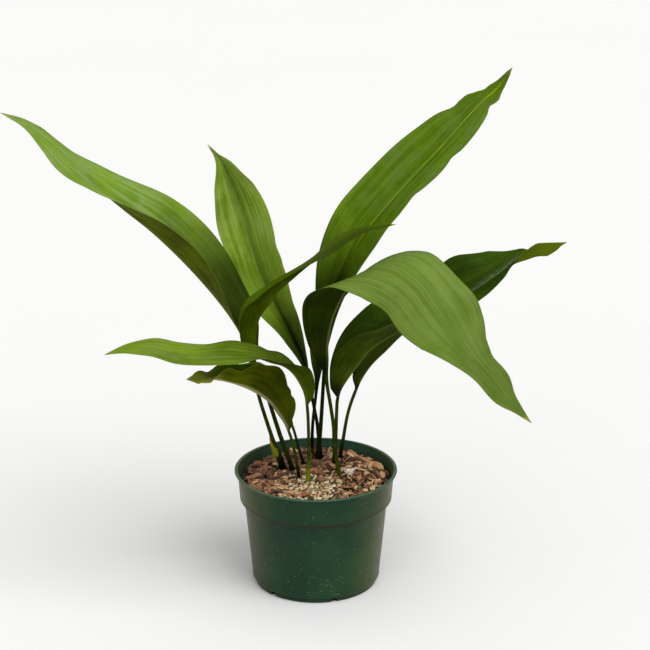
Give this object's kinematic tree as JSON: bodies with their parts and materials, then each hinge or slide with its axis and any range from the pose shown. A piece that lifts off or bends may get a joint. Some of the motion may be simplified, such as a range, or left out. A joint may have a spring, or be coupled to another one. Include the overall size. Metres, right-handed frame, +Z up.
{
  "type": "potted cast iron plant",
  "caption": "Potted foliage plant: broad pointed leaves on thin stalks rise from a bark mix in a round nursery pot with a rolled lip.",
  "frame": {"origin": "on the floor, at the middle of the pot's flat bottom", "axes": "+Z up along the pot's axis; -Y faces the front, the side that the picture was taken from; +X to its right"},
  "size_m": [0.5443, 0.2645, 0.5145],
  "materials": {
    "pot": "satin",
    "potting_mix": "matte",
    "rootstock": "matte",
    "leaf": "satin",
    "sheath_green": "matte",
    "sheath_brown": "matte"
  },
  "bodies": {
    "root": {"pot": "pot", "potting_mix": "potting_mix", "rootstock": "rootstock", "leaf_long_left": "leaf", "leaf_upright": "leaf", "leaf_thin_arching": "leaf", "leaf_tall_right": "leaf", "leaf_level_left": "leaf", "leaf_drooping_front": "leaf", "leaf_dusty_right": "leaf", "leaf_low_left": "leaf", "leaf_short_right": "leaf", "leaf_back": "leaf", "leaf_young": "leaf", "sheath_green": "sheath_green", "sheath_brown": "sheath_brown"}
  },
  "joints": []
}
